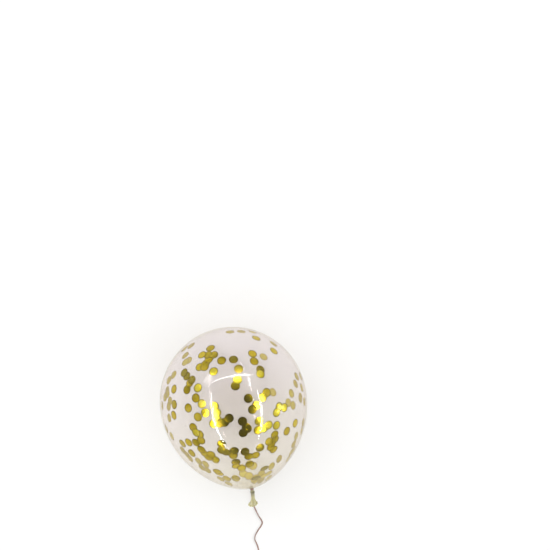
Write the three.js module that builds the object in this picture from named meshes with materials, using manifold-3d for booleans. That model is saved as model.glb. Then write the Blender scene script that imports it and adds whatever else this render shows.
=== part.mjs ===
// A clear round balloon, tied off and lying on its side, with a ribbon on its neck.
// Millimetres, +Z up. The floor is z = 0 and the origin is under the middle of the balloon's box.
import * as THREE from 'three';
import { mergeVertices } from 'three/addons/utils/BufferGeometryUtils.js';
import Module from 'manifold-3d';

const wasm = await Module();
wasm.setup();

// Inflated body
const BODY_DIAMETER = 280; // across the widest part
const CROWN_HEIGHT = 143; // widest part to the top of the crown
const TAPER_LENGTH = 194; // widest part to where the taper would close
const TAPER_POWER = 2.1; // how late the taper starts
const TAPER_ROUNDNESS = 1.3; // how full the taper stays towards the neck
const NECK_FLARE_DIAMETER = 34; // where the body turns into the neck

// Neck, knot, tail and mouth, along the same axis
const NECK_DIAMETER = 5.2;
const NECK_LENGTH = 15; // closing point of the taper to the middle of the knot
const NECK_PLEATS = 9; // folds of gathered rubber round the neck
const PLEAT_DEPTH = 0.08; // share of the local radius
const PLEAT_TWIST = 0.09; // radians for each millimetre along the neck
const KNOT_STRAND = 3.2; // thickness of the rubber strand in the knot
const KNOT_TILT = 28; // degrees that each loop of the knot leans
const TAIL_LENGTH = 28; // middle of the knot to the end of the lip
const TAIL_DIAMETER = 7; // narrowest part of the tail
const LIP_DIAMETER = 19; // over the rolled lip
const LIP_ROLL = 2.8; // thickness of the rolled lip
const MOUTH_DEPTH = 9; // how deep the open mouth goes
const MOUTH_WALL = 0.9; // rubber beside the open mouth

// How it lies
const NECK_DOWN = 18; // degrees that the neck points below level
const FLAT_DIAMETER = 38; // the small flat spot that it rests on

// Ribbon
const RIBBON_WIDTH = 3;
const RIBBON_BAND = 1.2; // thickness of the turns tied round the neck
const RIBBON_KNOT = 5; // size of the small knot in the ribbon
const TIE_TO_KNOT = 9; // middle of the tied turns to the middle of the balloon's knot
const COIL_CENTRE = [-34.5, -334]; // on the floor
const COIL_MIDDLE_RADIUS = 17; // at the middle of its turns
const COIL_BUILD = 11; // how thick the turns are together, across the ring
const COIL_HEIGHT = 3.6;
const GAP = 0.3; // between pieces that touch

// The ribbon's centreline from under the neck down to the floor and along it to the coil
const RIBBON_POINTS = [
  [0, -146.3, 72.4], [0, -146.8, 64], [-0.2, -149, 54], [-0.6, -153.5, 40], [-1.2, -160, 26], [-2, -169, 13.5],
  [-2.8, -181, 5.2], [-3.4, -194, 2], [-2.8, -205, 1.8], [-0.6, -216, 1.8], [2.2, -226.5, 1.8], [5.4, -235, 1.8],
  [6.4, -241.5, 1.8], [2.6, -247.5, 1.8], [-3, -253, 1.8], [-8.4, -258.8, 1.8], [-13, -265, 1.8],
  [-15, -272, 1.8], [-13.6, -279.5, 1.8], [-12.2, -288, 1.8], [-12.1, -297, 1.8], [-12.4, -309, 1.8],
  [-12.6, -321, 1.8],
];

const BODY_SIDES = 56;
const TAIL_SIDES = 36;
const CROWN_RINGS = 13;
const TAPER_RINGS = 17;
const bodyRadius = BODY_DIAMETER / 2;
const neckRadius = NECK_DIAMETER / 2;
const knotAt = TAPER_LENGTH + NECK_LENGTH;
const lipAt = knotAt + TAIL_LENGTH;
const tieAt = knotAt - TIE_TO_KNOT;

const latex = new THREE.MeshStandardMaterial({
  name: 'clear latex', color: 0xe6e0d6, roughness: 0.12, metalness: 0, transparent: true, opacity: 0.45,
});
const satin = new THREE.MeshStandardMaterial({
  name: 'rose brown ribbon', color: 0xa08a82, roughness: 0.45, metalness: 0,
});

// A closed geometry as a solid that can be joined and cut
function solidOf(geometry) {
  const bare = geometry.clone();
  bare.deleteAttribute('normal');
  bare.deleteAttribute('uv');
  const merged = mergeVertices(bare, 1e-4);
  const corners = merged.index.array;
  const kept = [];
  for (let i = 0; i < corners.length; i += 3) {
    const [a, b, c] = corners.slice(i, i + 3);
    if (a !== b && b !== c && c !== a) {
      kept.push(a, b, c);
    }
  }
  const mesh = new wasm.Mesh({
    numProp: 3,
    vertProperties: new Float32Array(merged.attributes.position.array),
    triVerts: new Uint32Array(kept),
  });
  return new wasm.Manifold(mesh);
}

function geometryOf(solid) {
  const { vertProperties, triVerts } = solid.getMesh();
  const geometry = new THREE.BufferGeometry();
  geometry.setAttribute('position', new THREE.BufferAttribute(new Float32Array(vertProperties), 3));
  geometry.setIndex(new THREE.BufferAttribute(new Uint32Array(triVerts), 1));
  geometry.computeVertexNormals();
  return geometry;
}

function piece(name, geometry, material) {
  const mesh = new THREE.Mesh(geometry, material);
  mesh.name = name;
  return mesh;
}

// Radius of the taper at a distance from the widest part, and the distance for a radius
function taperRadius(along) {
  const share = Math.min(along / TAPER_LENGTH, 1);
  return bodyRadius * (1 - share ** TAPER_POWER) ** (1 / TAPER_ROUNDNESS);
}

function taperAt(radius) {
  const share = (1 - (radius / bodyRadius) ** TAPER_ROUNDNESS) ** (1 / TAPER_POWER);
  return TAPER_LENGTH * share;
}

// The body from the crown to the closing of the taper, as [radius, along] pairs
function bodyProfile() {
  const points = [];
  for (let i = 0; i < CROWN_RINGS; i++) {
    const angle = (i / CROWN_RINGS) * Math.PI / 2;
    points.push(new THREE.Vector2(bodyRadius * Math.sin(angle), -CROWN_HEIGHT * Math.cos(angle)));
  }
  const flareRadius = NECK_FLARE_DIAMETER / 2;
  const flareAt = taperAt(flareRadius);
  for (let i = 0; i <= TAPER_RINGS; i++) {
    const angle = (i / TAPER_RINGS) * Math.PI / 2;
    const along = flareAt * Math.sin(angle);
    points.push(new THREE.Vector2(taperRadius(along), along));
  }
  return points;
}

// The hollow curve from the body into the neck, then straight into the knot
function neckProfile() {
  const flareRadius = NECK_FLARE_DIAMETER / 2;
  const flareAt = taperAt(flareRadius);
  const step = 0.5;
  const slope = step / (taperRadius(flareAt - step) - flareRadius);
  const turnAt = flareAt + (flareRadius - neckRadius) * slope;
  const neckAt = Math.min(turnAt + 0.35 * flareRadius, tieAt - RIBBON_WIDTH / 2);
  const curve = new THREE.QuadraticBezierCurve(
    new THREE.Vector2(flareRadius, flareAt),
    new THREE.Vector2(neckRadius, turnAt),
    new THREE.Vector2(neckRadius, neckAt),
  );
  const points = curve.getPoints(6).slice(1);
  points.push(new THREE.Vector2(neckRadius, (neckAt + knotAt) / 2));
  points.push(new THREE.Vector2(neckRadius, knotAt));
  points.push(new THREE.Vector2(0, knotAt));
  return points;
}

// Folds of gathered rubber: the radius swells and shrinks round the axis, fully from one place on
function pleat(geometry, from, full) {
  const place = geometry.attributes.position;
  for (let i = 0; i < place.count; i++) {
    const along = place.getY(i);
    const ramp = THREE.MathUtils.smoothstep(along, from, full);
    const turn = Math.atan2(place.getX(i), place.getZ(i));
    const swell = 1 + PLEAT_DEPTH * ramp * Math.cos(NECK_PLEATS * turn + PLEAT_TWIST * along);
    place.setXYZ(i, place.getX(i) * swell, along, place.getZ(i) * swell);
  }
  return geometry;
}

function bodyAndNeck() {
  const profile = [...bodyProfile(), ...neckProfile()];
  const flareAt = taperAt(NECK_FLARE_DIAMETER / 2);
  return solidOf(pleat(new THREE.LatheGeometry(profile, BODY_SIDES), flareAt, tieAt));
}

// The tail opens from the knot into a mouth with a rolled lip
function tailWithMouth() {
  const rollRadius = LIP_ROLL / 2;
  const ringRadius = LIP_DIAMETER / 2 - rollRadius;
  const ringAt = lipAt - rollRadius;
  const waist = TAIL_DIAMETER / 2;
  const waistAt = knotAt + 0.35 * TAIL_LENGTH;
  const outside = new THREE.CubicBezierCurve(
    new THREE.Vector2(waist, waistAt),
    new THREE.Vector2(waist, waistAt + 0.6 * (ringAt - waistAt)),
    new THREE.Vector2(ringRadius - rollRadius, ringAt - 0.3 * (ringAt - waistAt)),
    new THREE.Vector2(ringRadius - 0.5 * rollRadius, ringAt - 0.8 * rollRadius),
  );
  const inner = ringRadius - MOUTH_WALL;
  const floorAt = lipAt - MOUTH_DEPTH;
  const profile = [
    new THREE.Vector2(0, knotAt),
    new THREE.Vector2(waist, knotAt),
    ...outside.getPoints(8),
    new THREE.Vector2(ringRadius, ringAt),
    new THREE.Vector2(inner, ringAt),
    new THREE.Vector2(0.75 * inner, ringAt - 0.4 * (ringAt - floorAt)),
    new THREE.Vector2(0.35 * inner, floorAt),
    new THREE.Vector2(0, floorAt),
  ];
  const tail = solidOf(pleat(new THREE.LatheGeometry(profile, TAIL_SIDES), knotAt, waistAt));
  const lip = new THREE.TorusGeometry(ringRadius, rollRadius, 8, TAIL_SIDES);
  lip.rotateX(Math.PI / 2);
  lip.translate(0, ringAt, 0);
  return tail.add(solidOf(lip));
}

// Two rolled loops of rubber that lean across each other round the neck
function knot() {
  const strand = KNOT_STRAND / 2;
  const loops = [-1, 1].map((side) => {
    const loop = new THREE.TorusGeometry(neckRadius + 0.2 * strand, strand, 10, 20);
    loop.rotateX(Math.PI / 2);
    loop.rotateZ(THREE.MathUtils.degToRad(side * KNOT_TILT));
    loop.rotateY(side * Math.PI / 7);
    loop.translate(0, knotAt, 0);
    return solidOf(loop);
  });
  return loops[0].add(loops[1]);
}

// How far the lying body reaches below its middle, before the flat spot is cut
function reachBelow(down) {
  const reaches = bodyProfile().map((p) => p.y * Math.sin(down) + p.x * Math.cos(down));
  return Math.max(...reaches);
}

const down = THREE.MathUtils.degToRad(NECK_DOWN);
const fullReach = reachBelow(down);
const flatRadius = FLAT_DIAMETER / 2;
const middleHeight = Math.sqrt(fullReach ** 2 - flatRadius ** 2);
const turned = new THREE.Matrix4().makeRotationX(Math.PI + down);

// Everything below the floor is cut off the lying balloon, which leaves the flat spot
function floorCutter() {
  const size = 3 * BODY_DIAMETER;
  const box = new THREE.BoxGeometry(size, size, size);
  box.translate(0, 0, -middleHeight - size / 2);
  box.applyMatrix4(turned.clone().invert());
  return solidOf(box);
}

function balloon() {
  const whole = bodyAndNeck().add(tailWithMouth()).add(knot());
  return geometryOf(whole.subtract(floorCutter()));
}

// The ribbon's turns round the neck, with a small knot on the underside
function ribbonKnot() {
  const inner = neckRadius * (1 + PLEAT_DEPTH) + GAP;
  const half = RIBBON_WIDTH / 2;
  const profile = [
    new THREE.Vector2(inner, -half),
    new THREE.Vector2(inner + RIBBON_BAND, -0.8 * half),
    new THREE.Vector2(inner + RIBBON_BAND, 0.8 * half),
    new THREE.Vector2(inner, half),
    new THREE.Vector2(inner, -half),
  ];
  const band = new THREE.LatheGeometry(profile, 28);
  const lump = new THREE.SphereGeometry(RIBBON_KNOT / 2, 14, 8);
  lump.scale(1, 0.8, 0.8);
  lump.translate(0, 0, inner + 0.4 * RIBBON_KNOT);
  const hole = new THREE.CylinderGeometry(inner, inner, 3 * RIBBON_WIDTH, 28);
  const whole = solidOf(band).add(solidOf(lump).subtract(solidOf(hole)));
  return geometryOf(whole).translate(0, tieAt, 0);
}

function ribbonTube() {
  const route = new THREE.CatmullRomCurve3(RIBBON_POINTS.map((p) => new THREE.Vector3(...p)), false, 'centripetal');
  const section = new THREE.Shape().absarc(0, 0, RIBBON_WIDTH / 2, 0, 2 * Math.PI);
  return new THREE.ExtrudeGeometry(section, { extrudePath: route, steps: 56, curveSegments: 4, bevelEnabled: false });
}

function ribbonCoil() {
  const inner = COIL_MIDDLE_RADIUS - COIL_BUILD / 2;
  const outer = COIL_MIDDLE_RADIUS + COIL_BUILD / 2;
  const edge = 0.2 * COIL_HEIGHT;
  const profile = [
    new THREE.Vector2(inner, edge), new THREE.Vector2(inner + edge, 0),
    new THREE.Vector2(outer - edge, 0), new THREE.Vector2(outer, edge),
    new THREE.Vector2(outer, COIL_HEIGHT - edge), new THREE.Vector2(outer - edge, COIL_HEIGHT),
    new THREE.Vector2(inner + edge, COIL_HEIGHT), new THREE.Vector2(inner, COIL_HEIGHT - edge),
    new THREE.Vector2(inner, edge),
  ];
  return new THREE.LatheGeometry(profile, 40).rotateX(Math.PI / 2).translate(...COIL_CENTRE, 0);
}

// The balloon and what is tied to its neck lie turned together, over the origin
const lying = new THREE.Group();
lying.rotation.setFromRotationMatrix(turned);
lying.add(piece('balloon', balloon(), latex));
lying.add(piece('ribbon_knot', ribbonKnot(), satin));
lying.position.z = middleHeight;
const box = new THREE.Box3().setFromObject(lying, true);
lying.position.y = -(box.min.y + box.max.y) / 2;

const group = new THREE.Group();
group.name = 'confetti balloon';
group.add(lying);
group.add(piece('ribbon', ribbonTube(), satin));
group.add(piece('ribbon_coil', ribbonCoil(), satin));

export default group;
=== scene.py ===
"""A clear round balloon with gold foil confetti sealed in it, tied off, lying on a pale floor with a
ribbon on its neck.

Metres, +Z up. In the balloon's own frame its axis is +Y, from the crown through the knot to the lip, and
"along" is the distance on that axis from the widest part. Places on the photograph are pixels of its
550 x 550 frame.
"""

import math
import random

import bpy
from mathutils import Matrix, Vector
from mathutils.bvhtree import BVHTree


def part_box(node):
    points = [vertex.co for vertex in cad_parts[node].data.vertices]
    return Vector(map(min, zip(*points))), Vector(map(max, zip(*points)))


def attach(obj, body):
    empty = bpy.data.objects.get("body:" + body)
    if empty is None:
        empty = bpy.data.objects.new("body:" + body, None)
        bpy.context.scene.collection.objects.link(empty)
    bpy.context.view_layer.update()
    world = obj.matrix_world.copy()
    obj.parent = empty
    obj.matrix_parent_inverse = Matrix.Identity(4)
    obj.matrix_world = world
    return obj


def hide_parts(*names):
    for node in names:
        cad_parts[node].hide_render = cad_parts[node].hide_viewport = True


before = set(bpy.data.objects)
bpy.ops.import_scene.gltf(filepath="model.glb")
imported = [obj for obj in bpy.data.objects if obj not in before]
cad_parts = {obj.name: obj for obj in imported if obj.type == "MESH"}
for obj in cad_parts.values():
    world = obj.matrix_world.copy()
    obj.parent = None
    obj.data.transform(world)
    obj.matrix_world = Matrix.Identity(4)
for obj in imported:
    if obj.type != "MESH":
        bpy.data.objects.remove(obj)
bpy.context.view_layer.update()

MM = 0.001
AXIS = Vector((0, 1, 0))
UP = Vector((0, 0, 1))

# Body. The solid's box gives its width and its place
BALLOON_LOW, BALLOON_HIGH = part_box("balloon")
BODY_RADIUS = (BALLOON_HIGH.x - BALLOON_LOW.x) / 2
CROWN_HEIGHT = 143 * MM
TAPER_LENGTH = 194 * MM
TAPER_POWER = 2.1
TAPER_ROUNDNESS = 1.3
NECK_DOWN = math.radians(18)
FLOOR_GAP = 0.1 * MM

# The bloom is a second wall inside the skin, which ends in a blunt cone at the neck
BLOOM_DEPTH = 1.6 * MM
BLOOM_END_SLOPE = 0.3

# Neck, with the coarse and the fine folds of its gathered rubber
FLARE_RADIUS = 17 * MM
FLARE_REACH = 0.35
NECK_RADIUS = 2.6 * MM
NECK_LENGTH = 15 * MM
NECK_PLEATS = 9
PLEAT_DEPTH = 0.14
PLEAT_TWIST = 90.0
FINE_PLEATS = 2 * NECK_PLEATS
FINE_PLEAT_DEPTH = 0.3
FINE_PLEAT_TWIST = 1.7 * PLEAT_TWIST
FINE_PLEAT_TURN = 1

# Knot, of two loops of one strand
KNOT_STRAND = 1.6 * MM
KNOT_RING = NECK_RADIUS + 0.2 * KNOT_STRAND
KNOT_TILT = math.radians(28)
KNOT_SPREAD = math.pi / 7
STRAND_ROLLS = 2
STRAND_FLUTES = 5
FLUTE_DEPTH = 0.07

# Tail, with its rolled lip and shallow mouth
TAIL_LENGTH = 28 * MM
TAIL_RADIUS = 3.5 * MM
TAIL_SINK = 0.5 * MM
TAIL_WAIST = 0.35
TAIL_STRAIGHT = 0.6
TAIL_OPENING = 0.3
TAIL_BEND = 4 * MM
TAIL_BEND_POWER = 1.5
TAIL_PLEAT_DEPTH = 0.07
TAIL_PLEAT_RISE = 10 * MM
LIP_RADIUS = 9.5 * MM
LIP_ROLL = 1.4 * MM
LIP_UNDERCUT = (0.5, 0.8)
LIP_START = -150
LIP_SWEEP = 300
MOUTH_DEPTH = 9 * MM
MOUTH_WALL = 0.5 * MM
MOUTH_STEP = 0.4 * MM
MOUTH_TAPER = 0.7
MOUTH_TAPER_POWER = 1.5

# Places along the axis
KNOT_AT = TAPER_LENGTH + NECK_LENGTH
LIP_AT = KNOT_AT + TAIL_LENGTH
TIE_AT = KNOT_AT - 9 * MM

# Ribbon, with the route's points as the solids have them
RIBBON_LENGTH = 1.2
RIBBON_WIDTH = 3 * MM
RIBBON_THICKNESS = 0.25 * MM
RIBBON_DISH = 0.3
RIBBON_FLAT = 0.5
RIBBON_POINTS = [
    (0, -0.1463, 0.0724), (0, -0.1468, 0.064), (-0.0002, -0.149, 0.054),
    (-0.0006, -0.1535, 0.04), (-0.0012, -0.16, 0.026), (-0.002, -0.169, 0.0135),
    (-0.0028, -0.181, 0.0052), (-0.0034, -0.194, 0.002), (-0.0028, -0.205, 0.0018),
    (-0.0006, -0.216, 0.0018), (0.0022, -0.2265, 0.0018), (0.0054, -0.235, 0.0018),
    (0.0064, -0.2415, 0.0018), (0.0026, -0.2475, 0.0018), (-0.003, -0.253, 0.0018),
    (-0.0084, -0.2588, 0.0018), (-0.013, -0.265, 0.0018), (-0.015, -0.272, 0.0018),
    (-0.0136, -0.2795, 0.0018), (-0.0122, -0.288, 0.0018), (-0.0121, -0.297, 0.0018),
    (-0.0124, -0.309, 0.0018), (-0.0126, -0.321, 0.0018),
]
ROUTE_HEIGHT = 1.8 * MM
RIBBON_CLEARANCE = 0.1 * MM

# How the ribbon rolls about its own line, and the distances on it over which it does
RIBBON_ROLL = 0.6
RIBBON_TILTS = (40 * MM, 100 * MM)
RIBBON_LANDS = (80 * MM, 110 * MM)
RIBBON_WAVE = 0.35
RIBBON_WAVE_LENGTH = 55 * MM
WAVE_CALMS_OVER = 40 * MM
STANDS_UP_OVER = 30 * MM

# Coil of the length that the photograph doesn't show, with a small band round its turns
COIL_CENTRE = Vector((-0.0345, -0.334, ROUTE_HEIGHT))
COIL_OUTER = 22 * MM
COIL_PITCH = 1.15 * MM
COIL_STEP = math.radians(9)
BAND_TURN = math.radians(215)
BAND_AT = 16.5 * MM
BAND_REACH = 6 * MM
BAND_RISE = 1.65 * MM
BAND_ROUNDNESS = 0.35
BAND_HALF_WIDTH = 1.4 * MM
BAND_THICKNESS = 0.14 * MM

# The ribbon's tie: windings round the neck, and a knot of two small loops under them
WINDINGS = 2.6
WINDING_GAP = 0.25 * MM
WINDING_CLIMB = 0.5 * MM
WINDING_SHIFT = 0.9 * MM
WINDING_SHIFTS = 2.2
WINDING_SHIFT_START = 0.4
WINDING_THICKNESS = 0.3 * MM
TIE_KNOT_DEPTH = 2.1 * MM
TIE_LOOP = (1.9 * MM, 1.2 * MM, 0.5 * MM)
TIE_LOOP_LEANS = (-0.6, 0.5)
TIE_STRAND = (0.75 * MM, 0.6 * MM)

# Camera, from where the balloon shows in the photograph
PHOTO_SIZE = 550
MIDDLE_PIXEL = (233.3, 401.4)
RADIUS_PIXELS = 73.2
CAMERA_DISTANCE = 4.0
SIGHT_TILT = math.radians(12)
SIGHT_LEAN = math.radians(12)
SENSOR_WIDTH = 36
CLIP_START = 0.1
CLIP_END = 100

# Confetti. A disc lies on those that it touches, a layer deeper each time
DISC_RADIUS = 8.7 * MM
DISC_THICKNESS = 0.06 * MM
FIRST_DEPTH = 0.2 * MM
DISC_LAYER = 0.13 * MM
TOP_LAYER = 7
DISC_CLEARANCE = 0.25 * MM
DISC_CURLS = (-0.1 * MM, 0.45 * MM)
DISC_LEANS = (0, 0.7 * MM)
RIM_CURL = 0.05 * MM
RIM_FROM = 0.85
CREASED_SHARE = 0.2
CREASE_PLACES = (-0.3, 0.3)
CREASE_HEIGHTS = (0.5 * MM, 1.1 * MM)
PLAIN_TONES = (0.25, 0.7)
HIDDEN_EVERY = 3
SEED = 11

# Looking for the wall behind a pixel: how far past the near wall to look for the far one, and how a pixel
# off the balloon is moved in
WALL_SKIP = 0.1 * MM
PULL_STEPS = 12
PULL_SHARE = 0.01

# Discs stuck to the wall nearest to the camera, clump by clump, as pixels of the photograph
NEAR_CLUMPS = {
    "upper left": [
        (210.3, 347.8), (201.7, 354.5), (207.8, 354.5), (213.6, 354.5), (208.6, 359.1), (205.5, 362.9),
        (199.4, 366.7), (204.4, 366.7), (213.5, 371.2), (221.5, 360.2), (233.5, 359.3),
    ],
    "left": [
        (183.9, 372.5), (186.4, 375.9), (191.4, 379.8), (189.4, 382.8), (186.6, 389.6), (173.6, 389),
        (197.6, 387.8), (195.6, 398), (201.5, 403.8), (188.1, 408), (173.8, 404.5), (173.4, 415.4),
        (205.1, 412.9), (197.7, 417.1),
    ],
    "lower left": [
        (192.9, 427.5), (195.9, 432.8), (199.4, 434.4), (200.9, 440.6), (195.6, 442.9), (200.9, 449.9),
        (203.6, 453.4), (208.2, 458), (210.9, 454.9), (215.1, 459.9), (182.2, 443.8), (188.4, 442.6),
        (191.4, 453.4),
    ],
    "upper middle": [
        (238.7, 368.7), (237.5, 379.8), (235.4, 385.8), (252.6, 353.5), (254.4, 361), (260.7, 369.4),
        (260.6, 373.8), (256.3, 337.8), (274.1, 350.7),
    ],
    "middle": [
        (248.4, 398.4), (252.5, 409.5), (256.5, 405.3), (262.7, 397.5), (266.9, 392.5), (229.1, 418.3),
        (224.5, 422.5), (219.5, 423.3), (214.4, 406.4), (216.5, 412.6), (216.9, 419.4), (213.4, 424),
        (242.5, 421.4), (246.3, 427.5), (243.3, 433.2), (247.5, 429),
    ],
    "right": [
        (259.1, 421.2), (268.8, 425.2), (264.2, 428.6), (258.2, 430.2), (276.8, 425.6), (274.9, 434.8),
        (269.4, 441.7), (275.7, 440), (272.2, 443.8), (271.1, 447.2), (274.1, 449.9), (260.3, 448),
        (279.5, 406.8), (276.8, 412.6), (284.5, 407.6), (287.1, 431.3), (295.6, 423.3),
    ],
    "lower middle": [
        (245, 451.8), (255.6, 455.4), (221.5, 444.3), (221.5, 450.3), (226, 452.6), (234.3, 451.1),
        (233.3, 455.7), (236, 462.6), (236.4, 466.8), (241.7, 468.3), (264.6, 468.7), (249, 456.8),
        (249.8, 464.5),
    ],
    "towards the neck": [
        (235.6, 478.6), (217.2, 471.7), (219.2, 474), (226.4, 479), (268.8, 473.7), (264.2, 475.9),
        (256, 478.5),
    ],
}

# Discs on the far wall, and thin ones near the outline
FAR_CLUMPS = {
    "upper left": [(190.9, 345.3), (184.5, 348.4), (185, 355.1), (188.3, 360.2), (184.9, 361.8)],
    "left": [
        (173.3, 374.6), (168.4, 380.1), (166.9, 390.5), (166.9, 393.4), (164.6, 397.2), (169.7, 401.1),
        (168.2, 406.4), (168.8, 417.9), (161.9, 405.7), (166.1, 429), (171.5, 436.3),
    ],
    "top": [(229.9, 331.5), (241.4, 331.2), (252.8, 331.5), (273.8, 343.4), (263.7, 356.6)],
    "right": [
        (296.9, 376.4), (295.9, 383.6), (300.9, 376), (302.1, 387.5), (301, 397), (291.7, 393.3),
        (273, 392.2), (288.7, 402.6), (293.3, 405.3), (300.7, 398.4), (304.8, 401.5),
    ],
    "lower right": [
        (296.5, 436.2), (294.4, 444.2), (291.4, 452.6), (293.7, 450.3), (303.6, 422.5), (302.1, 430.9),
        (288.5, 459), (279.5, 459.1), (271.8, 466.4),
    ],
    "lower middle": [(253.2, 466)],
    "lower left": [
        (198.3, 461.4), (201.7, 467.9), (205.2, 464.5), (207.1, 470.6), (182.6, 450.3), (186.8, 454.9),
        (189.5, 458.7),
    ],
    "towards the neck": [
        (220.3, 479.4), (228.7, 484), (243.3, 474), (249, 476.3), (254.8, 479.8), (261.6, 474),
        (261.3, 480.9), (256.9, 480.9), (268.8, 478.2),
    ],
}

# Near discs with a painted highlight, given the lightest gold where they mirror a light, and near discs
# with painted shade, given the deepest gold where they mirror the dark opening overhead
PAINTED_HIGHLIGHT_DISCS = {
    (213.5, 371.2), (197.6, 387.8), (201.5, 403.8), (214.4, 406.4), (216.5, 412.6), (216.9, 419.4),
    (237.5, 379.8), (260.6, 373.8), (262.7, 397.5), (256.5, 405.3), (279.5, 406.8), (276.8, 412.6),
    (284.5, 407.6), (264.2, 428.6), (195.9, 432.8), (268.8, 425.2), (276.8, 425.6),
}
PAINTED_SHADE_DISCS = {
    (183.9, 372.5), (186.4, 375.9), (191.4, 379.8), (233.5, 359.3), (235.4, 385.8), (248.4, 398.4),
    (252.5, 409.5), (229.1, 418.3), (224.5, 422.5), (219.5, 423.3), (242.5, 421.4), (246.3, 427.5),
    (243.3, 433.2), (247.5, 429), (260.3, 448), (245, 451.8), (221.5, 450.3), (226, 452.6),
    (234.3, 451.1), (238.7, 368.7), (260.7, 369.4), (264.6, 468.7), (256, 478.5),
}

# The strip lights, by the bright streaks that they make on the near wall: two pixels and a strength each
STREAKS = {
    "left": ((210.5, 392), (225, 447), 1.1),
    "right": ((256.5, 390), (258, 440.5), 0.9),
    "top": ((211, 382), (254, 376), 0.8),
    "short": ((248.5, 378), (250.5, 387), 0.2),
}
STRIP_DISTANCE = 1.7
STRIP_WIDTH = 0.08
STRIP_WATTS = 15.0

# Wider, softer lights, each with the pixel where the near wall mirrors it and its watts
GLOWS = {
    "upper left": ((207, 380), 3.2),
    "right": ((281, 408), 1.4),
    "left": ((203, 404), 0.7),
}
GLOW_SIZE = 0.42

# Sun and sky. What the balloon mirrors is a room of light and dark patches with a dark opening overhead,
# which starts and is full at two cosines of the angle from its middle
SUN_STRENGTH = 0.45
SUN_WIDTH = math.radians(50)
SUN_TURN = (math.radians(-25), math.radians(-20), 0)
SKY_STRENGTH = 1.08
OPENING_PIXEL = (235, 418)
OPENING_COSINES = (0.42, 0.72)
OPENING_BRIGHTNESS = 0.12
PATCH_NOISE = (0.38, 0.62)
PATCH_BRIGHTNESS = (0.3, 1.3)
FLOOR_REACH = 15

# Colours, each with an alpha of 1
WHITE = (1, 1, 1, 1)
SEEN_SKY = (0.97, 0.97, 0.97, 1)
FLOOR_COLOURS = ((0.86, 0.86, 0.86, 1), (0.88, 0.88, 0.875, 1))
SKIN_TINT = (0.988, 0.984, 0.978, 1)
SKIN_EDGE_TINT = (0.72, 0.68, 0.62, 1)
MILKY_RUBBER = (0.78, 0.76, 0.52, 1)
CHALKY_RUBBER = (0.74, 0.71, 0.5, 1)
BLOOM_CROWN_TINT = (0.985, 0.97, 1.0, 1)
BLOOM_NECK_TINT = (0.96, 0.95, 0.92, 1)
BLOOM_DUST = (0.88, 0.80, 0.70, 1)
TAIL_RUBBER = (0.62, 0.59, 0.37, 1)
KNOT_RUBBER = (0.33, 0.32, 0.22, 1)
RUBBER_TINT = (0.93, 0.92, 0.78, 1)
RIBBON_COLOURS = ((0.22, 0.12, 0.09, 1), (0.34, 0.195, 0.15, 1))
# Gold foil, deep to middle to light, and the colour at the rim. Random tones lie between; the deep and
# light ends themselves are painted shade and painted highlight on the listed discs.
GOLD = {
    "deep": (0.27, 0.21, 0.004, 1), "middle": (0.53, 0.395, 0.005, 1), "light": (0.62, 0.52, 0.03, 1),
    "edge": (0.17, 0.11, 0.004, 1),
}
PALE_GOLD = {
    "deep": (0.6, 0.49, 0.02, 1), "middle": (0.71, 0.61, 0.03, 1), "light": (0.83, 0.76, 0.06, 1),
    "edge": (0.4, 0.3, 0.03, 1),
}

# Where the looks change along the axis
MILKY_BEFORE_FLARE = 30 * MM
KNOT_DARK_FADE = 0.45
BLOOM_TINT_AT = (-80 * MM, 170 * MM)

# How finely the meshes are made
SKIN_SIDES, SKIN_RINGS = 160, 70
BLOOM_SIDES, BLOOM_RINGS = 128, 56
EXTRA_TAPER_RINGS = 20
OUTLINE_RINGS = 60
FLARE_STEPS = 18
NECK_STEPS = 8
STRAND_SIDES, STRAND_STEPS = 30, 64
TAIL_SIDES, TAIL_STEPS = 120, 24
LIP_STEPS = 12
MOUTH_STEPS = 8
ROUTE_STEPS = 6
BAND_STEPS = 32
WINDING_STEPS = 120
TIE_LOOP_STEPS, TIE_STRAND_SIDES = 36, 10
DISC_SIDES = 22
DISC_RINGS = (0.0, 0.35, 0.62, 0.8, 0.93, 1.0)
DISC_CORNER = 60
RIBBON_CORNER = 50


# Helpers for even steps and smooth curves

def shares_to(count):
    """Even shares from 0 to 1, both among them."""
    return [i / count for i in range(count + 1)]


def angles_round(count):
    """Even angles round a full turn."""
    return [2 * math.pi * k / count for k in range(count)]


def smoothstep(value, low, high):
    t = max(0, min(1, (value - low) / (high - low)))
    return t * t * (3 - 2 * t)


def bezier(corners, t):
    """The place at a share t of the curve that the corners draw."""
    last = len(corners) - 1
    weights = [math.comb(last, k) * t ** k * (1 - t) ** (last - k) for k in range(last + 1)]
    return tuple(sum(w * corner[i] for w, corner in zip(weights, corners)) for i in (0, 1))


# Shape of the body

def taper_radius(along):
    share = min(along / TAPER_LENGTH, 1)
    return BODY_RADIUS * (1 - share ** TAPER_POWER) ** (1 / TAPER_ROUNDNESS)


def taper_at(radius):
    share = (1 - (radius / BODY_RADIUS) ** TAPER_ROUNDNESS) ** (1 / TAPER_POWER)
    return TAPER_LENGTH * share


FLARE_AT = taper_at(FLARE_RADIUS)


def body_profile(crown_rings, taper_rings):
    """(radius, along) from the crown to where the hollow curve into the neck starts."""
    points = []
    for share in shares_to(crown_rings)[:-1]:
        angle = share * math.pi / 2
        points.append((BODY_RADIUS * math.sin(angle), -CROWN_HEIGHT * math.cos(angle)))
    for share in shares_to(taper_rings):
        along = FLARE_AT * math.sin(share * math.pi / 2)
        points.append((taper_radius(along), along))
    return points


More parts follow.
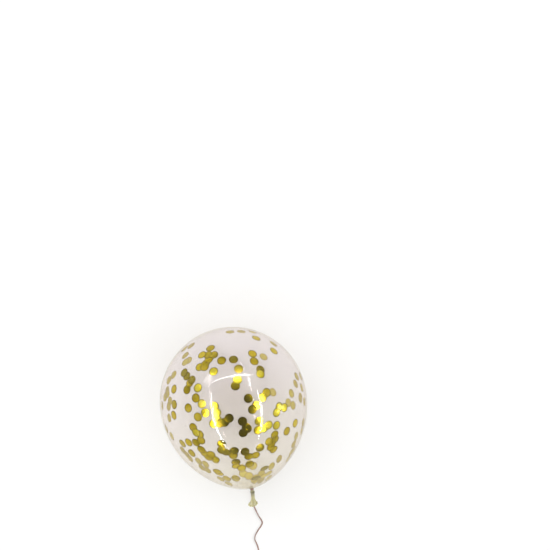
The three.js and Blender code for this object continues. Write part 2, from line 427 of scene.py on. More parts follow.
def neck_profile():
    """The hollow curve from the body into the neck, then straight into the knot. The curve starts on the
    body's own slope, measured over a short step."""
    step = 0.5 * MM
    slope = step / (taper_radius(FLARE_AT - step) - FLARE_RADIUS)
    turn_at = FLARE_AT + (FLARE_RADIUS - NECK_RADIUS) * slope
    neck_at = min(turn_at + FLARE_REACH * FLARE_RADIUS, TIE_AT - RIBBON_WIDTH / 2)
    corners = [(FLARE_RADIUS, FLARE_AT), (NECK_RADIUS, turn_at), (NECK_RADIUS, neck_at)]
    points = [bezier(corners, t) for t in shares_to(FLARE_STEPS)[1:]]
    points += [(NECK_RADIUS, neck_at + (KNOT_AT - neck_at) * t) for t in shares_to(NECK_STEPS)[1:]]
    return [*points, (0, KNOT_AT)]


def lying_matrix():
    """Turns the balloon's own frame into the row frame, inside the solid's box."""
    outline = body_profile(OUTLINE_RINGS, OUTLINE_RINGS)
    up = max(r * math.cos(NECK_DOWN) - a * math.sin(NECK_DOWN) for r, a in outline)
    back = max(r * math.sin(NECK_DOWN) - a * math.cos(NECK_DOWN) for r, a in outline)
    middle = Vector((0, BALLOON_HIGH.y - back, BALLOON_HIGH.z - up))
    return Matrix.Translation(middle) @ Matrix.Rotation(math.pi + NECK_DOWN, 4, "X")


LYING = lying_matrix()
MIDDLE = LYING.translation.copy()


# Camera

def pixel_direction(pixel, focus):
    """A pixel as a direction in the camera's own axes, not yet of length 1."""
    half = PHOTO_SIZE / 2
    return Vector((pixel[0] - half, half - pixel[1], -focus))


def camera_frame():
    """(place, turn, focus distance in pixels) of a camera that shows the balloon where the photograph
    has it."""
    sight = Vector((0, -math.sin(SIGHT_TILT), -math.cos(SIGHT_TILT)))
    up = Vector((0, math.cos(SIGHT_TILT), -math.sin(SIGHT_TILT)))
    right = Vector((1, 0, 0))
    leaning_right = math.cos(SIGHT_LEAN) * right - math.sin(SIGHT_LEAN) * up
    leaning_up = math.cos(SIGHT_LEAN) * up + math.sin(SIGHT_LEAN) * right
    level = Matrix((leaning_right, leaning_up, -sight)).transposed()
    focus = CAMERA_DISTANCE * RADIUS_PIXELS / BODY_RADIUS
    aim = (-UP).rotation_difference(pixel_direction(MIDDLE_PIXEL, focus))
    turn = level @ aim.to_matrix().inverted()
    return MIDDLE - CAMERA_DISTANCE * sight, turn, focus


CAMERA_PLACE, CAMERA_TURN, FOCUS_PIXELS = camera_frame()


def make_camera():
    data = bpy.data.cameras.new("camera")
    data.sensor_width = SENSOR_WIDTH
    data.lens = data.sensor_width * FOCUS_PIXELS / PHOTO_SIZE
    data.clip_start = CLIP_START
    data.clip_end = CLIP_END
    camera = bpy.data.objects.new("camera", data)
    camera.matrix_world = Matrix.Translation(CAMERA_PLACE) @ CAMERA_TURN.to_4x4()
    bpy.context.scene.collection.objects.link(camera)
    bpy.context.scene.camera = camera


def pixel_ray(pixel):
    return (CAMERA_TURN @ pixel_direction(pixel, FOCUS_PIXELS)).normalized()


# Meshes

def mesh_object(name, points, faces, material, lying=False, smooth=True, sharp=None):
    """A mesh in the row frame. With `lying`, the points are in the balloon's own frame: they are laid down
    with it, and keep their place along its axis in the attribute `along`. Edges that turn by more than
    `sharp` degrees stay crisp."""
    mesh = bpy.data.meshes.new(name)
    mesh.from_pydata([tuple(LYING @ p if lying else p) for p in points], [], faces)
    if lying:
        mesh.attributes.new("along", "FLOAT", "POINT").data.foreach_set("value", [p.y for p in points])
    mesh.update()
    mesh.polygons.foreach_set("use_smooth", [smooth] * len(mesh.polygons))
    if sharp is not None:
        mesh.set_sharp_from_angle(angle=math.radians(sharp))
    mesh.materials.append(material)
    piece = bpy.data.objects.new(name, mesh)
    bpy.context.scene.collection.objects.link(piece)
    return piece


def join(points, faces, more_points, more_faces):
    """Adds the second mesh's points and faces to the first's."""
    base = len(points)
    points.extend(more_points)
    faces.extend(tuple(base + v for v in face) for face in more_faces)


def lathe(profile, sides, swell=None):
    """Points and faces of a profile turned round +Y. It starts and ends on the axis, with a radius of 0.
    swell(turn, along) gives a factor for the radius."""
    points, faces, rings = [], [], []
    for radius, along in profile:
        first = len(points)
        if radius == 0:
            points.append(Vector((0, along, 0)))
        else:
            for turn in angles_round(sides):
                size = radius * (swell(turn, along) if swell else 1)
                points.append(Vector((size * math.sin(turn), along, size * math.cos(turn))))
        rings.append(range(first, len(points)))
    for a, b in zip(rings, rings[1:]):
        for k in range(sides):
            n = (k + 1) % sides
            if len(a) == 1:
                faces.append((a[0], b[n], b[k]))
            elif len(b) == 1:
                faces.append((a[k], a[n], b[0]))
            else:
                faces.append((a[k], a[n], b[n], b[k]))
    return points, faces


def tube(path, section, closed=True):
    """Points and faces of a section, a list of (across, over), swept round a path of (place, side, up).
    A path that isn't closed gets a cap at each end."""
    points, faces = [], []
    corners = len(section)
    for place, side, up in path:
        for x, y in section:
            points.append(place + side * x + up * y)
    count = len(path)
    for i in range(count if closed else count - 1):
        j = (i + 1) % count
        for k in range(corners):
            n = (k + 1) % corners
            faces.append((i * corners + k, j * corners + k, j * corners + n, i * corners + n))
    if not closed:
        faces.append(tuple(range(corners)))
        faces.append(tuple(reversed(range((count - 1) * corners, count * corners))))
    return points, faces


def pleats(start, full, depth):
    """How the folds of gathered rubber swell the radius, from one place on and fully from another."""
    def swell(turn, along):
        coarse = math.cos(NECK_PLEATS * turn + PLEAT_TWIST * along)
        fine = math.cos(FINE_PLEATS * turn - FINE_PLEAT_TWIST * along + FINE_PLEAT_TURN)
        return 1 + depth * smoothstep(along, start, full) * (coarse + FINE_PLEAT_DEPTH * fine)
    return swell


def flatten(points, height):
    """Keeps the points, in the balloon's own frame, from reaching below a height over the floor."""
    back = LYING.inverted()
    kept = []
    for p in points:
        place = LYING @ p
        kept.append(back @ Vector((place.x, place.y, height)) if place.z < height else p)
    return kept


def inset(profile, depth):
    """The profile moved inwards by a depth, and ended on the axis."""
    moved = [(0, profile[0][1] + depth)]
    for before, here, after in zip(profile, profile[1:], profile[2:]):
        run = Vector((after[0] - before[0], after[1] - before[1])).normalized()
        moved.append((here[0] - run.y * depth, here[1] + run.x * depth))
    moved.append((0, moved[-1][1] + BLOOM_END_SLOPE * moved[-1][0]))
    return moved


def skin_mesh():
    """The outer wall of the body and the neck."""
    profile = body_profile(SKIN_RINGS, SKIN_RINGS + EXTRA_TAPER_RINGS) + neck_profile()
    points, faces = lathe(profile, SKIN_SIDES, pleats(FLARE_AT, TIE_AT, PLEAT_DEPTH))
    return flatten(points, FLOOR_GAP), faces


def bloom_mesh():
    """The body's wall a little further in, closed where the neck starts."""
    profile = inset(body_profile(BLOOM_RINGS, BLOOM_RINGS + EXTRA_TAPER_RINGS), BLOOM_DEPTH)
    points, faces = lathe(profile, BLOOM_SIDES)
    return flatten(points, FLOOR_GAP + BLOOM_DEPTH), faces


# Materials

def new_material(name):
    material = bpy.data.materials.new(name)
    material.use_nodes = True
    tree = material.node_tree
    tree.nodes.clear()
    return material, tree


def node(tree, kind, inputs=None, **settings):
    """A new node. An input is a value, or a socket to link."""
    made = tree.nodes.new(kind)
    for key, value in settings.items():
        setattr(made, key, value)
    for key, value in (inputs or {}).items():
        if isinstance(value, bpy.types.NodeSocket):
            tree.links.new(value, made.inputs[key])
        else:
            made.inputs[key].default_value = value
    return made


def end_with(tree, shader, kind="ShaderNodeOutputMaterial"):
    tree.links.new(shader.outputs[0], node(tree, kind).inputs["Surface"])


def mix_shaders(tree, share, first, second):
    """Goes from the first shader to the second as the share goes from 0 to 1."""
    return node(tree, "ShaderNodeMixShader", {0: share, 1: first.outputs[0], 2: second.outputs[0]})


def mix_colours(tree, share, first, second):
    mixed = node(tree, "ShaderNodeMix", {"Factor": share, "A": first, "B": second}, data_type="RGBA")
    return mixed.outputs["Result"]


def smooth_share(tree, value, start, end, low=0, high=1):
    """A share that goes softly from `low` to `high` as the value goes from `start` to `end`."""
    ends = {"Value": value, "From Min": start, "From Max": end, "To Min": low, "To Max": high}
    return node(tree, "ShaderNodeMapRange", ends, interpolation_type="SMOOTHSTEP").outputs["Result"]


def facing_share(tree, middle, edge, power):
    """A share that is `middle` where the surface faces the viewer and `edge` where it turns away."""
    layer = node(tree, "ShaderNodeLayerWeight", {"Blend": 0.5})
    raised = node(tree, "ShaderNodeMath", {0: layer.outputs["Facing"], 1: power}, operation="POWER")
    ends = {"Value": raised.outputs[0], "To Min": middle, "To Max": edge}
    return node(tree, "ShaderNodeMapRange", ends).outputs["Result"]


def attribute(tree, name):
    return node(tree, "ShaderNodeAttribute", attribute_name=name).outputs["Fac"]


def along_share(tree, low, high, start, end):
    """A share that goes from `low` to `high` between two places along the balloon's axis."""
    return smooth_share(tree, attribute(tree, "along"), start, end, low, high)


def noise(tree, place, scale, detail):
    made = node(tree, "ShaderNodeTexNoise", {"Vector": place, "Scale": scale, "Detail": detail})
    return made.outputs[0]


def clear_skin_material():
    """Stretched latex: clear, glossy, with thicker, milky yellow rubber near the neck."""
    material, tree = new_material("clear latex")
    tint = mix_colours(tree, facing_share(tree, middle=0, edge=1, power=8.0), SKIN_TINT, SKIN_EDGE_TINT)
    see_through = node(tree, "ShaderNodeBsdfTransparent", {"Color": tint})
    gather = along_share(tree, low=0.02, high=0.62, start=FLARE_AT - MILKY_BEFORE_FLARE, end=KNOT_AT)
    milky = node(tree, "ShaderNodeBsdfTranslucent", {"Color": MILKY_RUBBER})
    chalky = node(tree, "ShaderNodeBsdfDiffuse", {"Color": CHALKY_RUBBER})
    film = mix_shaders(tree, gather, see_through, mix_shaders(tree, 0.5, milky, chalky))
    crisp = node(tree, "ShaderNodeBsdfGlossy", {"Color": WHITE, "Roughness": 0.03})
    soft = node(tree, "ShaderNodeBsdfGlossy", {"Color": WHITE, "Roughness": 0.2})
    gloss = mix_shaders(tree, 0.25, crisp, soft)
    share = facing_share(tree, middle=0.024, edge=0.25, power=5.0)
    end_with(tree, mix_shaders(tree, share, film, gloss))
    return material


def bloom_material():
    """The faint milky dust on the inside of the skin, cool at the crown and yellower towards the neck."""
    material, tree = new_material("inner bloom")
    towards_neck = along_share(tree, 0, 1, *BLOOM_TINT_AT)
    tint = mix_colours(tree, towards_neck, BLOOM_CROWN_TINT, BLOOM_NECK_TINT)
    see_through = node(tree, "ShaderNodeBsdfTransparent", {"Color": tint})
    forward = node(tree, "ShaderNodeBsdfTranslucent", {"Color": BLOOM_DUST})
    back = node(tree, "ShaderNodeBsdfDiffuse", {"Color": BLOOM_DUST})
    dust = mix_shaders(tree, 0.5, forward, back)
    share = facing_share(tree, middle=0.12, edge=0.26, power=3.0)
    end_with(tree, mix_shaders(tree, share, see_through, dust))
    return material


def gathered_material():
    """Unstretched latex in the knot, tail and lip: milky, yellowish, still letting light through."""
    material, tree = new_material("gathered latex")
    # The rubber is darker in the knot and lightens over the start of the tail
    darker_towards_knot = along_share(tree, low=1, high=0, start=KNOT_AT, end=KNOT_AT + KNOT_DARK_FADE * TAIL_LENGTH)
    see_through = node(tree, "ShaderNodeBsdfTransparent", {"Color": RUBBER_TINT})
    rubber = node(tree, "ShaderNodeBsdfPrincipled", {
        "Base Color": mix_colours(tree, darker_towards_knot, TAIL_RUBBER, KNOT_RUBBER), "Roughness": 0.3,
        "Subsurface Weight": 0.4, "Subsurface Radius": (0.004, 0.004, 0.002), "Subsurface Scale": 1.0,
    })
    share = facing_share(tree, middle=0.5, edge=0.97, power=1.4)
    end_with(tree, mix_shaders(tree, share, see_through, rubber))
    return material


def foil_material(name, colours, metal, roughness):
    """Foil: a mirror with soft dents, darker towards the rim, in a tone of its own disc by disc, which is
    random except on the listed discs, where it is a painted highlight (1) and painted shade (0). A tone of
    0 is the deep colour, 0.5 the middle one and 1 the light one."""
    material, tree = new_material(name)
    # Per-disc tone: random, with painted highlight and painted shade on the listed discs
    tone_and_painted_light = attribute(tree, "tone_and_painted_light")
    lower = node(tree, "ShaderNodeMapRange", {"Value": tone_and_painted_light, "From Max": 0.5}).outputs["Result"]
    upper = node(tree, "ShaderNodeMapRange", {"Value": tone_and_painted_light, "From Min": 0.5}).outputs["Result"]
    shade = mix_colours(tree, lower, colours["deep"], colours["middle"])
    shade = mix_colours(tree, upper, shade, colours["light"])
    rim = smooth_share(tree, attribute(tree, "from_centre"), start=0.78, end=0.92)
    dents = noise(tree, node(tree, "ShaderNodeTexCoord").outputs["Object"], scale=110.0, detail=2.0)
    bump = node(tree, "ShaderNodeBump", {"Height": dents, "Strength": 0.4, "Distance": 0.0006})
    end_with(tree, node(tree, "ShaderNodeBsdfPrincipled", {
        "Base Color": mix_colours(tree, rim, shade, colours["edge"]), "Metallic": metal,
        "Roughness": roughness, "Coat Weight": 0.2, "Coat Roughness": 0.1, "Normal": bump.outputs[0],
    }))
    return material


def satin_material():
    """Rose brown ribbon with a fine grain."""
    material, tree = new_material("rose brown ribbon")
    place = node(tree, "ShaderNodeTexCoord").outputs["Object"]
    colour = mix_colours(tree, noise(tree, place, scale=90.0, detail=3.0), *RIBBON_COLOURS)
    grain = noise(tree, place, scale=1400.0, detail=1.0)
    bump = node(tree, "ShaderNodeBump", {"Height": grain, "Strength": 0.3, "Distance": 0.0001})
    end_with(tree, node(tree, "ShaderNodeBsdfPrincipled", {
        "Base Color": colour, "Roughness": 0.38, "Sheen Weight": 0.3, "Normal": bump.outputs[0],
    }))
    return material


CLEAR_SKIN = clear_skin_material()
BLOOM = bloom_material()
GATHERED = gathered_material()
FOIL_FRONT = foil_material("gold foil", GOLD, metal=1.0, roughness=0.25)
FOIL_BACK = foil_material("pale gold foil back", PALE_GOLD, metal=0.45, roughness=0.35)
SATIN = satin_material()


# Balloon

def settle(piece, slot, *replaced):
    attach(piece, "root")
    if replaced:
        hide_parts(*replaced)
    return piece


def make_skin():
    settle(mesh_object("balloon_skin", *skin_mesh(), CLEAR_SKIN, lying=True), "clear_latex", "balloon")


def make_bloom():
    settle(mesh_object("inner_bloom", *bloom_mesh(), BLOOM, lying=True), "clear_latex")


def tail_profile():
    """From inside the knot along the outside, over the rolled lip and into the shallow mouth."""
    ring_radius = LIP_RADIUS - LIP_ROLL
    ring_at = LIP_AT - LIP_ROLL
    waist_at = KNOT_AT + TAIL_WAIST * TAIL_LENGTH
    opens_over = ring_at - waist_at
    corners = [
        (TAIL_RADIUS, waist_at),
        (TAIL_RADIUS, waist_at + TAIL_STRAIGHT * opens_over),
        (ring_radius - LIP_ROLL, ring_at - TAIL_OPENING * opens_over),
        (ring_radius - LIP_UNDERCUT[0] * LIP_ROLL, ring_at - LIP_UNDERCUT[1] * LIP_ROLL),
    ]
    profile = [(0, KNOT_AT - TAIL_SINK), (TAIL_RADIUS, KNOT_AT - TAIL_SINK)]
    profile += [bezier(corners, t) for t in shares_to(TAIL_STEPS)]
    for t in shares_to(LIP_STEPS):
        angle = math.radians(LIP_START + LIP_SWEEP * t)
        profile.append((ring_radius + LIP_ROLL * math.cos(angle), ring_at + LIP_ROLL * math.sin(angle)))
    inner = ring_radius - MOUTH_WALL
    floor_at = LIP_AT - MOUTH_DEPTH
    for t in shares_to(MOUTH_STEPS):
        radius = inner * (1 - MOUTH_TAPER * t ** MOUTH_TAPER_POWER) - MOUTH_STEP
        profile.append((radius, ring_at + (floor_at - ring_at) * t))
    return [*profile, (0, floor_at)]


def make_tail():
    """The tail opens from the knot into a mouth with a rolled lip, and bends to one side."""
    folds = pleats(KNOT_AT - TAIL_PLEAT_RISE, KNOT_AT, TAIL_PLEAT_DEPTH)
    points, faces = lathe(tail_profile(), TAIL_SIDES, folds)
    for p in points:
        p.x -= TAIL_BEND * max(0, (p.y - KNOT_AT) / TAIL_LENGTH) ** TAIL_BEND_POWER
    settle(mesh_object("tail_and_lip", points, faces, GATHERED, lying=True), "clear_latex", "balloon")


def strand_section():
    """The knot's strand cut across: round, with shallow flutes."""
    section = []
    for angle in angles_round(STRAND_SIDES):
        size = KNOT_STRAND * (1 + FLUTE_DEPTH * math.cos(STRAND_FLUTES * angle))
        section.append((size * math.cos(angle), size * math.sin(angle)))
    return section


def make_knot():
    """Two rolled loops of rubber that lean across each other round the neck, fluted along the strand."""
    points, faces = [], []
    for side in (-1, 1):
        lean = Matrix.Translation((0, KNOT_AT, 0)) @ Matrix.Rotation(side * KNOT_SPREAD, 4, "Y")
        lean = lean @ Matrix.Rotation(side * KNOT_TILT, 4, "Z")
        path = []
        for turn in angles_round(STRAND_STEPS):
            out = Vector((math.sin(turn), 0, math.cos(turn)))
            roll = STRAND_ROLLS * turn
            level = math.cos(roll) * out + math.sin(roll) * AXIS
            across = -math.sin(roll) * out + math.cos(roll) * AXIS
            path.append((lean @ (out * KNOT_RING), lean.to_3x3() @ level, lean.to_3x3() @ across))
        join(points, faces, *tube(path, strand_section()))
    settle(mesh_object("neck_knot", points, faces, GATHERED, lying=True), "clear_latex", "balloon")


# Ribbon

def smooth_route(points):
    """A centripetal Catmull-Rom curve through the points."""
    ends = [2 * points[0] - points[1], *points, 2 * points[-1] - points[-2]]
    route = []
    for p0, p1, p2, p3 in zip(ends, ends[1:], ends[2:], ends[3:]):
        d0, d1, d2 = (math.sqrt((b - a).length) for a, b in ((p0, p1), (p1, p2), (p2, p3)))
        start = ((p1 - p0) / d0 - (p2 - p0) / (d0 + d1) + (p2 - p1) / d1) * d1
        end = ((p2 - p1) / d1 - (p3 - p1) / (d1 + d2) + (p3 - p2) / d2) * d1
        for t in shares_to(ROUTE_STEPS)[:-1]:
            route.append(
                (2 * t ** 3 - 3 * t ** 2 + 1) * p1 + (t ** 3 - 2 * t ** 2 + t) * start
                + (3 * t ** 2 - 2 * t ** 3) * p2 + (t ** 3 - t ** 2) * end
            )
    return [*route, points[-1]]


def ribbon_route():
    """The whole centreline, and how long the stretch before the coil is."""
    route = smooth_route([Vector(p) for p in RIBBON_POINTS])
    loose = sum((b - a).length for a, b in zip(route, route[1:]))
    left = RIBBON_LENGTH - loose
    turn = 0
    while left > 0:
        radius = COIL_OUTER - COIL_PITCH * turn / (2 * math.pi)
        place = COIL_CENTRE + Vector((radius * math.cos(turn), -radius * math.sin(turn), 0))
        left -= (place - route[-1]).length
        route.append(place)
        turn += COIL_STEP
    return route, loose


def ribbon_frames(route, loose):
    """Each point of the route with the ribbon's width and face directions there: hanging, then lying on the
    floor tilted with its lower edge down, then standing on edge in the coil."""
    frames = []
    run = 0
    for i, place in enumerate(route):
        before, after = route[max(i - 1, 0)], route[min(i + 1, len(route) - 1)]
        run += (place - before).length
        ahead = (after - before).normalized()
        level = ahead.cross(UP).normalized()
        rise = level.cross(ahead)
        wave = RIBBON_WAVE * math.sin(run * 2 * math.pi / RIBBON_WAVE_LENGTH)
        wave *= 1 - smoothstep(run, loose - WAVE_CALMS_OVER, loose)
        roll = smoothstep(run, *RIBBON_TILTS) * (RIBBON_ROLL + wave)
        roll += smoothstep(run, loose - STANDS_UP_OVER, loose) * (math.pi / 2 - RIBBON_ROLL)
        width = math.cos(roll) * level + math.sin(roll) * rise
        face = math.cos(roll) * rise - math.sin(roll) * level
        needed = RIBBON_CLEARANCE + RIBBON_WIDTH / 2 * abs(math.sin(roll))
        drop = min(0, needed - ROUTE_HEIGHT) * smoothstep(run, *RIBBON_LANDS)
        frames.append((place + Vector((0, 0, drop)), width, face))
    return frames


def make_ribbon():
    """The ribbon, slightly dished across, and the line that it follows."""
    frames = ribbon_frames(*ribbon_route())
    half, thick = RIBBON_WIDTH / 2, RIBBON_THICKNESS / 2
    flat = RIBBON_FLAT * half
    low, high = RIBBON_DISH * thick, (1 + RIBBON_DISH) * thick
    section = [
        (-half, low), (-flat, -thick), (flat, -thick), (half, low),
        (half, high), (flat, thick), (-flat, thick), (-half, high),
    ]
    points, faces = tube(frames, section, closed=False)
    ribbon = mesh_object("ribbon_band", points, faces, SATIN, sharp=RIBBON_CORNER)
    return settle(ribbon, "ribbon", "ribbon", "ribbon_coil"), [place for place, _, _ in frames]


def squarer(value):
    """Moves a sine or cosine towards -1 or 1, so that an ellipse gets flat sides."""
    return math.copysign(abs(value) ** BAND_ROUNDNESS, value)


def make_coil_tie():
    """A narrow band round all the turns at one place, which holds the coil."""
    out = Vector((math.cos(BAND_TURN), math.sin(BAND_TURN), 0))
    across = Vector((-out.y, out.x, 0))
    middle = COIL_CENTRE + out * BAND_AT
    path = []
    for angle in angles_round(BAND_STEPS):
        x = BAND_REACH * squarer(math.cos(angle))
        z = BAND_RISE * squarer(math.sin(angle))
        normal = (out * x / BAND_REACH ** 2 + UP * z / BAND_RISE ** 2).normalized()
        path.append((middle + out * x + UP * z, across, normal))
    half, thick = BAND_HALF_WIDTH, BAND_THICKNESS
    points, faces = tube(path, [(-half, 0), (half, 0), (half, thick), (-half, thick)])
    return settle(mesh_object("coil_tie", points, faces, SATIN, sharp=RIBBON_CORNER), "ribbon")


def winding_path(inner):
    """Round the neck and outwards a little, wandering along it."""
    path = []
    for share in shares_to(WINDING_STEPS):
        angle = 2 * math.pi * WINDINGS * share
        out = Vector((math.sin(angle), 0, math.cos(angle)))
        shift = WINDING_SHIFT * math.sin(WINDING_SHIFTS * math.pi * share + WINDING_SHIFT_START)
        place = out * (inner + WINDING_CLIMB * share) + Vector((0, TIE_AT + shift, 0))
        path.append((place, AXIS, out))
    return path


def tie_loop_path(centre, lean):
    """One small loop of the tie's knot, bent a little out of its plane."""
    spin = Matrix.Rotation(lean, 3, "Y") @ Matrix.Rotation(lean, 3, "Z")
    long, wide, deep = TIE_LOOP
    path = []
    for angle in angles_round(TIE_LOOP_STEPS):
        s, c = math.sin(angle), math.cos(angle)
        place = Vector((long * c, wide * s, deep * math.sin(2 * angle)))
        ahead = Vector((-long * s, wide * c, 2 * deep * math.cos(2 * angle))).normalized()
        side = ahead.cross(UP).normalized()
        path.append((centre + spin @ place, spin @ side, spin @ side.cross(ahead)))
    return path


def make_ribbon_knot():
    """The ribbon wound round the neck and tied off underneath."""
    inner = NECK_RADIUS * (1 + PLEAT_DEPTH) + WINDING_GAP
    half, thick = RIBBON_WIDTH / 2, WINDING_THICKNESS
    section = [(-half, 0), (half, 0), (half, thick), (-half, thick)]
    points, faces = tube(winding_path(inner), section, closed=False)
    wide, high = TIE_STRAND
    strand = [(wide * math.cos(a), high * math.sin(a)) for a in angles_round(TIE_STRAND_SIDES)]
    centre = Vector((0, TIE_AT, inner + TIE_KNOT_DEPTH))
    for lean in TIE_LOOP_LEANS:
        join(points, faces, *tube(tie_loop_path(centre, lean), strand))
    knot = mesh_object("ribbon_tie", points, faces, SATIN, lying=True, sharp=RIBBON_CORNER)
    settle(knot, "ribbon", "ribbon_knot")


# Confetti

def wall_tree():
    points, faces = skin_mesh()
    return BVHTree.FromPolygons([LYING @ p for p in points], faces)


WALL = wall_tree()


def wall_at(pixel, far):
    """The place and normal of the near or the far wall where a pixel shows it. A pixel just off the
    balloon is moved in towards its middle."""
    for pull in range(PULL_STEPS):
        share = 1 - PULL_SHARE * pull
        ray = pixel_ray([MIDDLE_PIXEL[k] + share * (pixel[k] - MIDDLE_PIXEL[k]) for k in (0, 1)])
        place, normal, _, _ = WALL.ray_cast(CAMERA_PLACE, ray)
        if far and place is not None:
            place, normal, _, _ = WALL.ray_cast(place + ray * WALL_SKIP, ray)
        if place is not None:
            return place, normal
    raise ValueError(f"no wall at pixel {pixel}")


def disc_points(place, normal, depth, chance):
    """The points of one disc, front then back, that follows the wall at a depth under it, a little curled
    and now and then creased. Also how far out on the disc each point is, as a share."""
    turn = chance.uniform(0, 2 * math.pi)
    side = normal.orthogonal().normalized()
    across = normal.cross(side)
    along = math.cos(turn) * side + math.sin(turn) * across
    width = math.cos(turn) * across - math.sin(turn) * side
    curl = chance.uniform(*DISC_CURLS)
    lean = chance.uniform(*DISC_LEANS)
    creased = chance.random() < CREASED_SHARE
    crease_at = chance.uniform(*CREASE_PLACES)
    crease = chance.uniform(*CREASE_HEIGHTS)
    points, shares = [], []
    for layer in (0, 1):
        for share in DISC_RINGS:
            for angle in angles_round(DISC_SIDES if share else 1):
                x, y = share * math.cos(angle), share * math.sin(angle)
                on_wall, inwards, _, _ = WALL.find_nearest(place + DISC_RADIUS * (x * along + y * width))
                lift = depth + curl * x * x + lean * (1 + x) / 2
                lift += RIM_CURL * smoothstep(share, RIM_FROM, 1)
                if creased:
                    lift += crease * max(0, x - crease_at)
                points.append(on_wall - inwards * (lift + layer * DISC_THICKNESS))
                shares.append(share)
    return points, shares


def disc_faces():
    """The faces of one disc: front, back and rim, with the foil of each, 0 in front and 1 elsewhere."""
    faces = []
    per_layer = 1 + (len(DISC_RINGS) - 1) * DISC_SIDES
    for layer in (0, 1):
        centre = layer * per_layer
        for k in range(DISC_SIDES):
            n = (k + 1) % DISC_SIDES
            wedge = [(centre, centre + 1 + k, centre + 1 + n)]
            for ring in range(len(DISC_RINGS) - 2):
                a = centre + 1 + ring * DISC_SIDES
                b = a + DISC_SIDES
                wedge.append((a + k, b + k, b + n, a + n))
            faces += wedge if layer == 0 else [face[::-1] for face in wedge]
    front = len(faces) // 2
    edge = per_layer - DISC_SIDES
    for k in range(DISC_SIDES):
        n = (k + 1) % DISC_SIDES
        faces.append((edge + k, per_layer + edge + k, per_layer + edge + n, edge + n))
    return faces, [0] * front + [1] * (len(faces) - front)


def disc_tone_and_painted_light(pixel, chance):
    """How light a disc's gold is, from 0 to 1: 1 is a painted highlight and 0 painted shade on the listed
    discs, and the rest get a random tone.
    """
    plain = chance.uniform(*PLAIN_TONES)
    if pixel in PAINTED_HIGHLIGHT_DISCS:
        return 1
    return 0 if pixel in PAINTED_SHADE_DISCS else plain


def confetti_places():
    """(place, normal, pixel) of every disc: those seen on the near wall, those on the far wall, and a few
    hidden behind near ones."""
    near = [(*wall_at(pixel, False), pixel) for clump in NEAR_CLUMPS.values() for pixel in clump]
    far = [(*wall_at(pixel, True), pixel) for clump in FAR_CLUMPS.values() for pixel in clump]
    hidden_at = [pixel for clump in NEAR_CLUMPS.values() for pixel in clump[::HIDDEN_EVERY]]
    hidden = [(*wall_at(pixel, True), pixel) for pixel in hidden_at]
    return {"near_confetti": near, "far_confetti": far + hidden}


def make_confetti():
    chance = random.Random(SEED)
    one_disc, foils = disc_faces()
    for name, places in confetti_places().items():
        points, faces, shares, tones_and_painted_light, layers = [], [], [], [], []
        for place, normal, pixel in places:
            under = [layer for other, layer in layers if (other - place).length < 2 * DISC_RADIUS]
            layer = min(max(under, default=-1) + 1, TOP_LAYER)
            layers.append((place, layer))
            more, from_centre = disc_points(place, normal, FIRST_DEPTH + layer * DISC_LAYER, chance)
            join(points, faces, more, one_disc)
            shares += from_centre
            # Each disc's tone: random, with painted highlight and painted shade on the listed discs
            tones_and_painted_light += [disc_tone_and_painted_light(pixel, chance)] * len(more)
        points = [Vector((p.x, p.y, max(p.z, DISC_CLEARANCE))) for p in points]
        piece = mesh_object(name, points, faces, FOIL_FRONT, sharp=DISC_CORNER)
        piece.data.materials.append(FOIL_BACK)
        piece.data.polygons.foreach_set("material_index", foils * len(places))
        for label, values in (("from_centre", shares), ("tone_and_painted_light", tones_and_painted_light)):
            piece.data.attributes.new(label, "FLOAT", "POINT").data.foreach_set("value", values)
        settle(piece, "gold_foil")


# Floor, lights and surroundings

def make_floor():
    material, tree = new_material("pale floor")
    cloud = noise(tree, node(tree, "ShaderNodeTexCoord").outputs["Object"], scale=3.0, detail=2.0)
    colour = mix_colours(tree, cloud, *FLOOR_COLOURS)
    end_with(tree, node(tree, "ShaderNodeBsdfPrincipled", {
        "Base Color": colour, "Roughness": 0.9, "Specular IOR Level": 0.1,
    }))
    corners = [(x * FLOOR_REACH, y * FLOOR_REACH, 0) for x, y in ((-1, -1), (1, -1), (1, 1), (-1, 1))]
    mesh_object("floor", corners, [(0, 1, 2, 3)], material, smooth=False)


def area_light(name, place, width, length, watts, long_side=AXIS):
    """A light for the reflections alone: the sun and the sky light everything else."""
    data = bpy.data.lights.new(name, "AREA")
    data.shape = "ELLIPSE"
    data.size = width
    data.size_y = length
    data.energy = watts
    light = bpy.data.objects.new(name, data)
    back = (place - MIDDLE).normalized()
    upright = (long_side - back * back.dot(long_side)).normalized()
    turn = Matrix((upright.cross(back), upright, back)).transposed()
    light.matrix_world = Matrix.Translation(place) @ turn.to_4x4()
    light.visible_camera = False
    light.visible_diffuse = False
    light.visible_transmission = False
    bpy.context.scene.collection.objects.link(light)


def mirrored(pixel):
    """Where a light has to be for the near wall to mirror it at a pixel."""
    place, normal = wall_at(pixel, False)
    ray = pixel_ray(pixel)
    return place + STRIP_DISTANCE * (ray - 2 * ray.dot(normal) * normal)


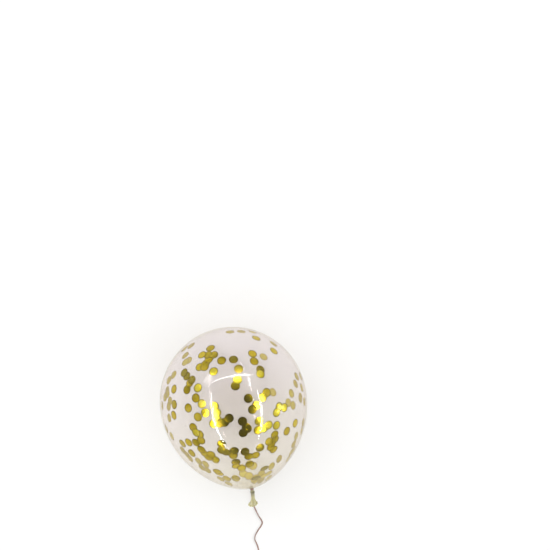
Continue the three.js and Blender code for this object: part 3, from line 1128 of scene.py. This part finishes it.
def make_lights():
    for name, (start, end, strength) in STREAKS.items():
        a, b = mirrored(start), mirrored(end)
        watts = STRIP_WATTS * strength
        area_light(f"strip {name}", (a + b) / 2, STRIP_WIDTH, (b - a).length, watts, long_side=b - a)
    for name, (pixel, watts) in GLOWS.items():
        area_light(f"glow {name}", mirrored(pixel), GLOW_SIZE, GLOW_SIZE, watts)
    sun = bpy.data.lights.new("soft sun", "SUN")
    sun.energy = SUN_STRENGTH
    sun.angle = SUN_WIDTH
    light = bpy.data.objects.new("soft sun", sun)
    light.rotation_euler = SUN_TURN
    light.visible_glossy = False
    bpy.context.scene.collection.objects.link(light)


def make_surroundings():
    """Even sky light, a plain sky to look at, and to be mirrored a room with light and dark patches and a
    dark opening overhead, inside the frame of the strip lights."""
    world = bpy.data.worlds.new("studio")
    world.use_nodes = True
    bpy.context.scene.world = world
    tree = world.node_tree
    tree.nodes.clear()
    way = node(tree, "ShaderNodeTexCoord").outputs["Generated"]
    opening = (mirrored(OPENING_PIXEL) - MIDDLE).normalized()
    nearness = node(tree, "ShaderNodeVectorMath", {0: way, 1: opening}, operation="DOT_PRODUCT")
    open_share = smooth_share(tree, nearness.outputs["Value"], *OPENING_COSINES)
    patches = noise(tree, way, scale=5.5, detail=2.0)
    walls = smooth_share(tree, patches, *PATCH_NOISE, *PATCH_BRIGHTNESS)
    room = node(tree, "ShaderNodeMix", {"Factor": open_share, "A": walls, "B": OPENING_BRIGHTNESS})
    brightness = room.outputs["Result"]
    mirrored_sky = node(tree, "ShaderNodeBackground", {"Color": WHITE, "Strength": brightness})
    lighting_sky = node(tree, "ShaderNodeBackground", {"Color": WHITE, "Strength": SKY_STRENGTH})
    seen_sky = node(tree, "ShaderNodeBackground", {"Color": SEEN_SKY, "Strength": 1.0})
    path = node(tree, "ShaderNodeLightPath")
    plain = mix_shaders(tree, path.outputs["Is Camera Ray"], lighting_sky, seen_sky)
    every = mix_shaders(tree, path.outputs["Is Glossy Ray"], plain, mirrored_sky)
    end_with(tree, every, "ShaderNodeOutputWorld")


make_camera()
make_skin()
make_bloom()
make_knot()
make_tail()
ribbon, ribbon_line = make_ribbon()
coil_tie = make_coil_tie()
make_ribbon_knot()
make_confetti()
make_floor()
make_lights()
make_surroundings()
bpy.context.scene.view_settings.view_transform = "Standard"
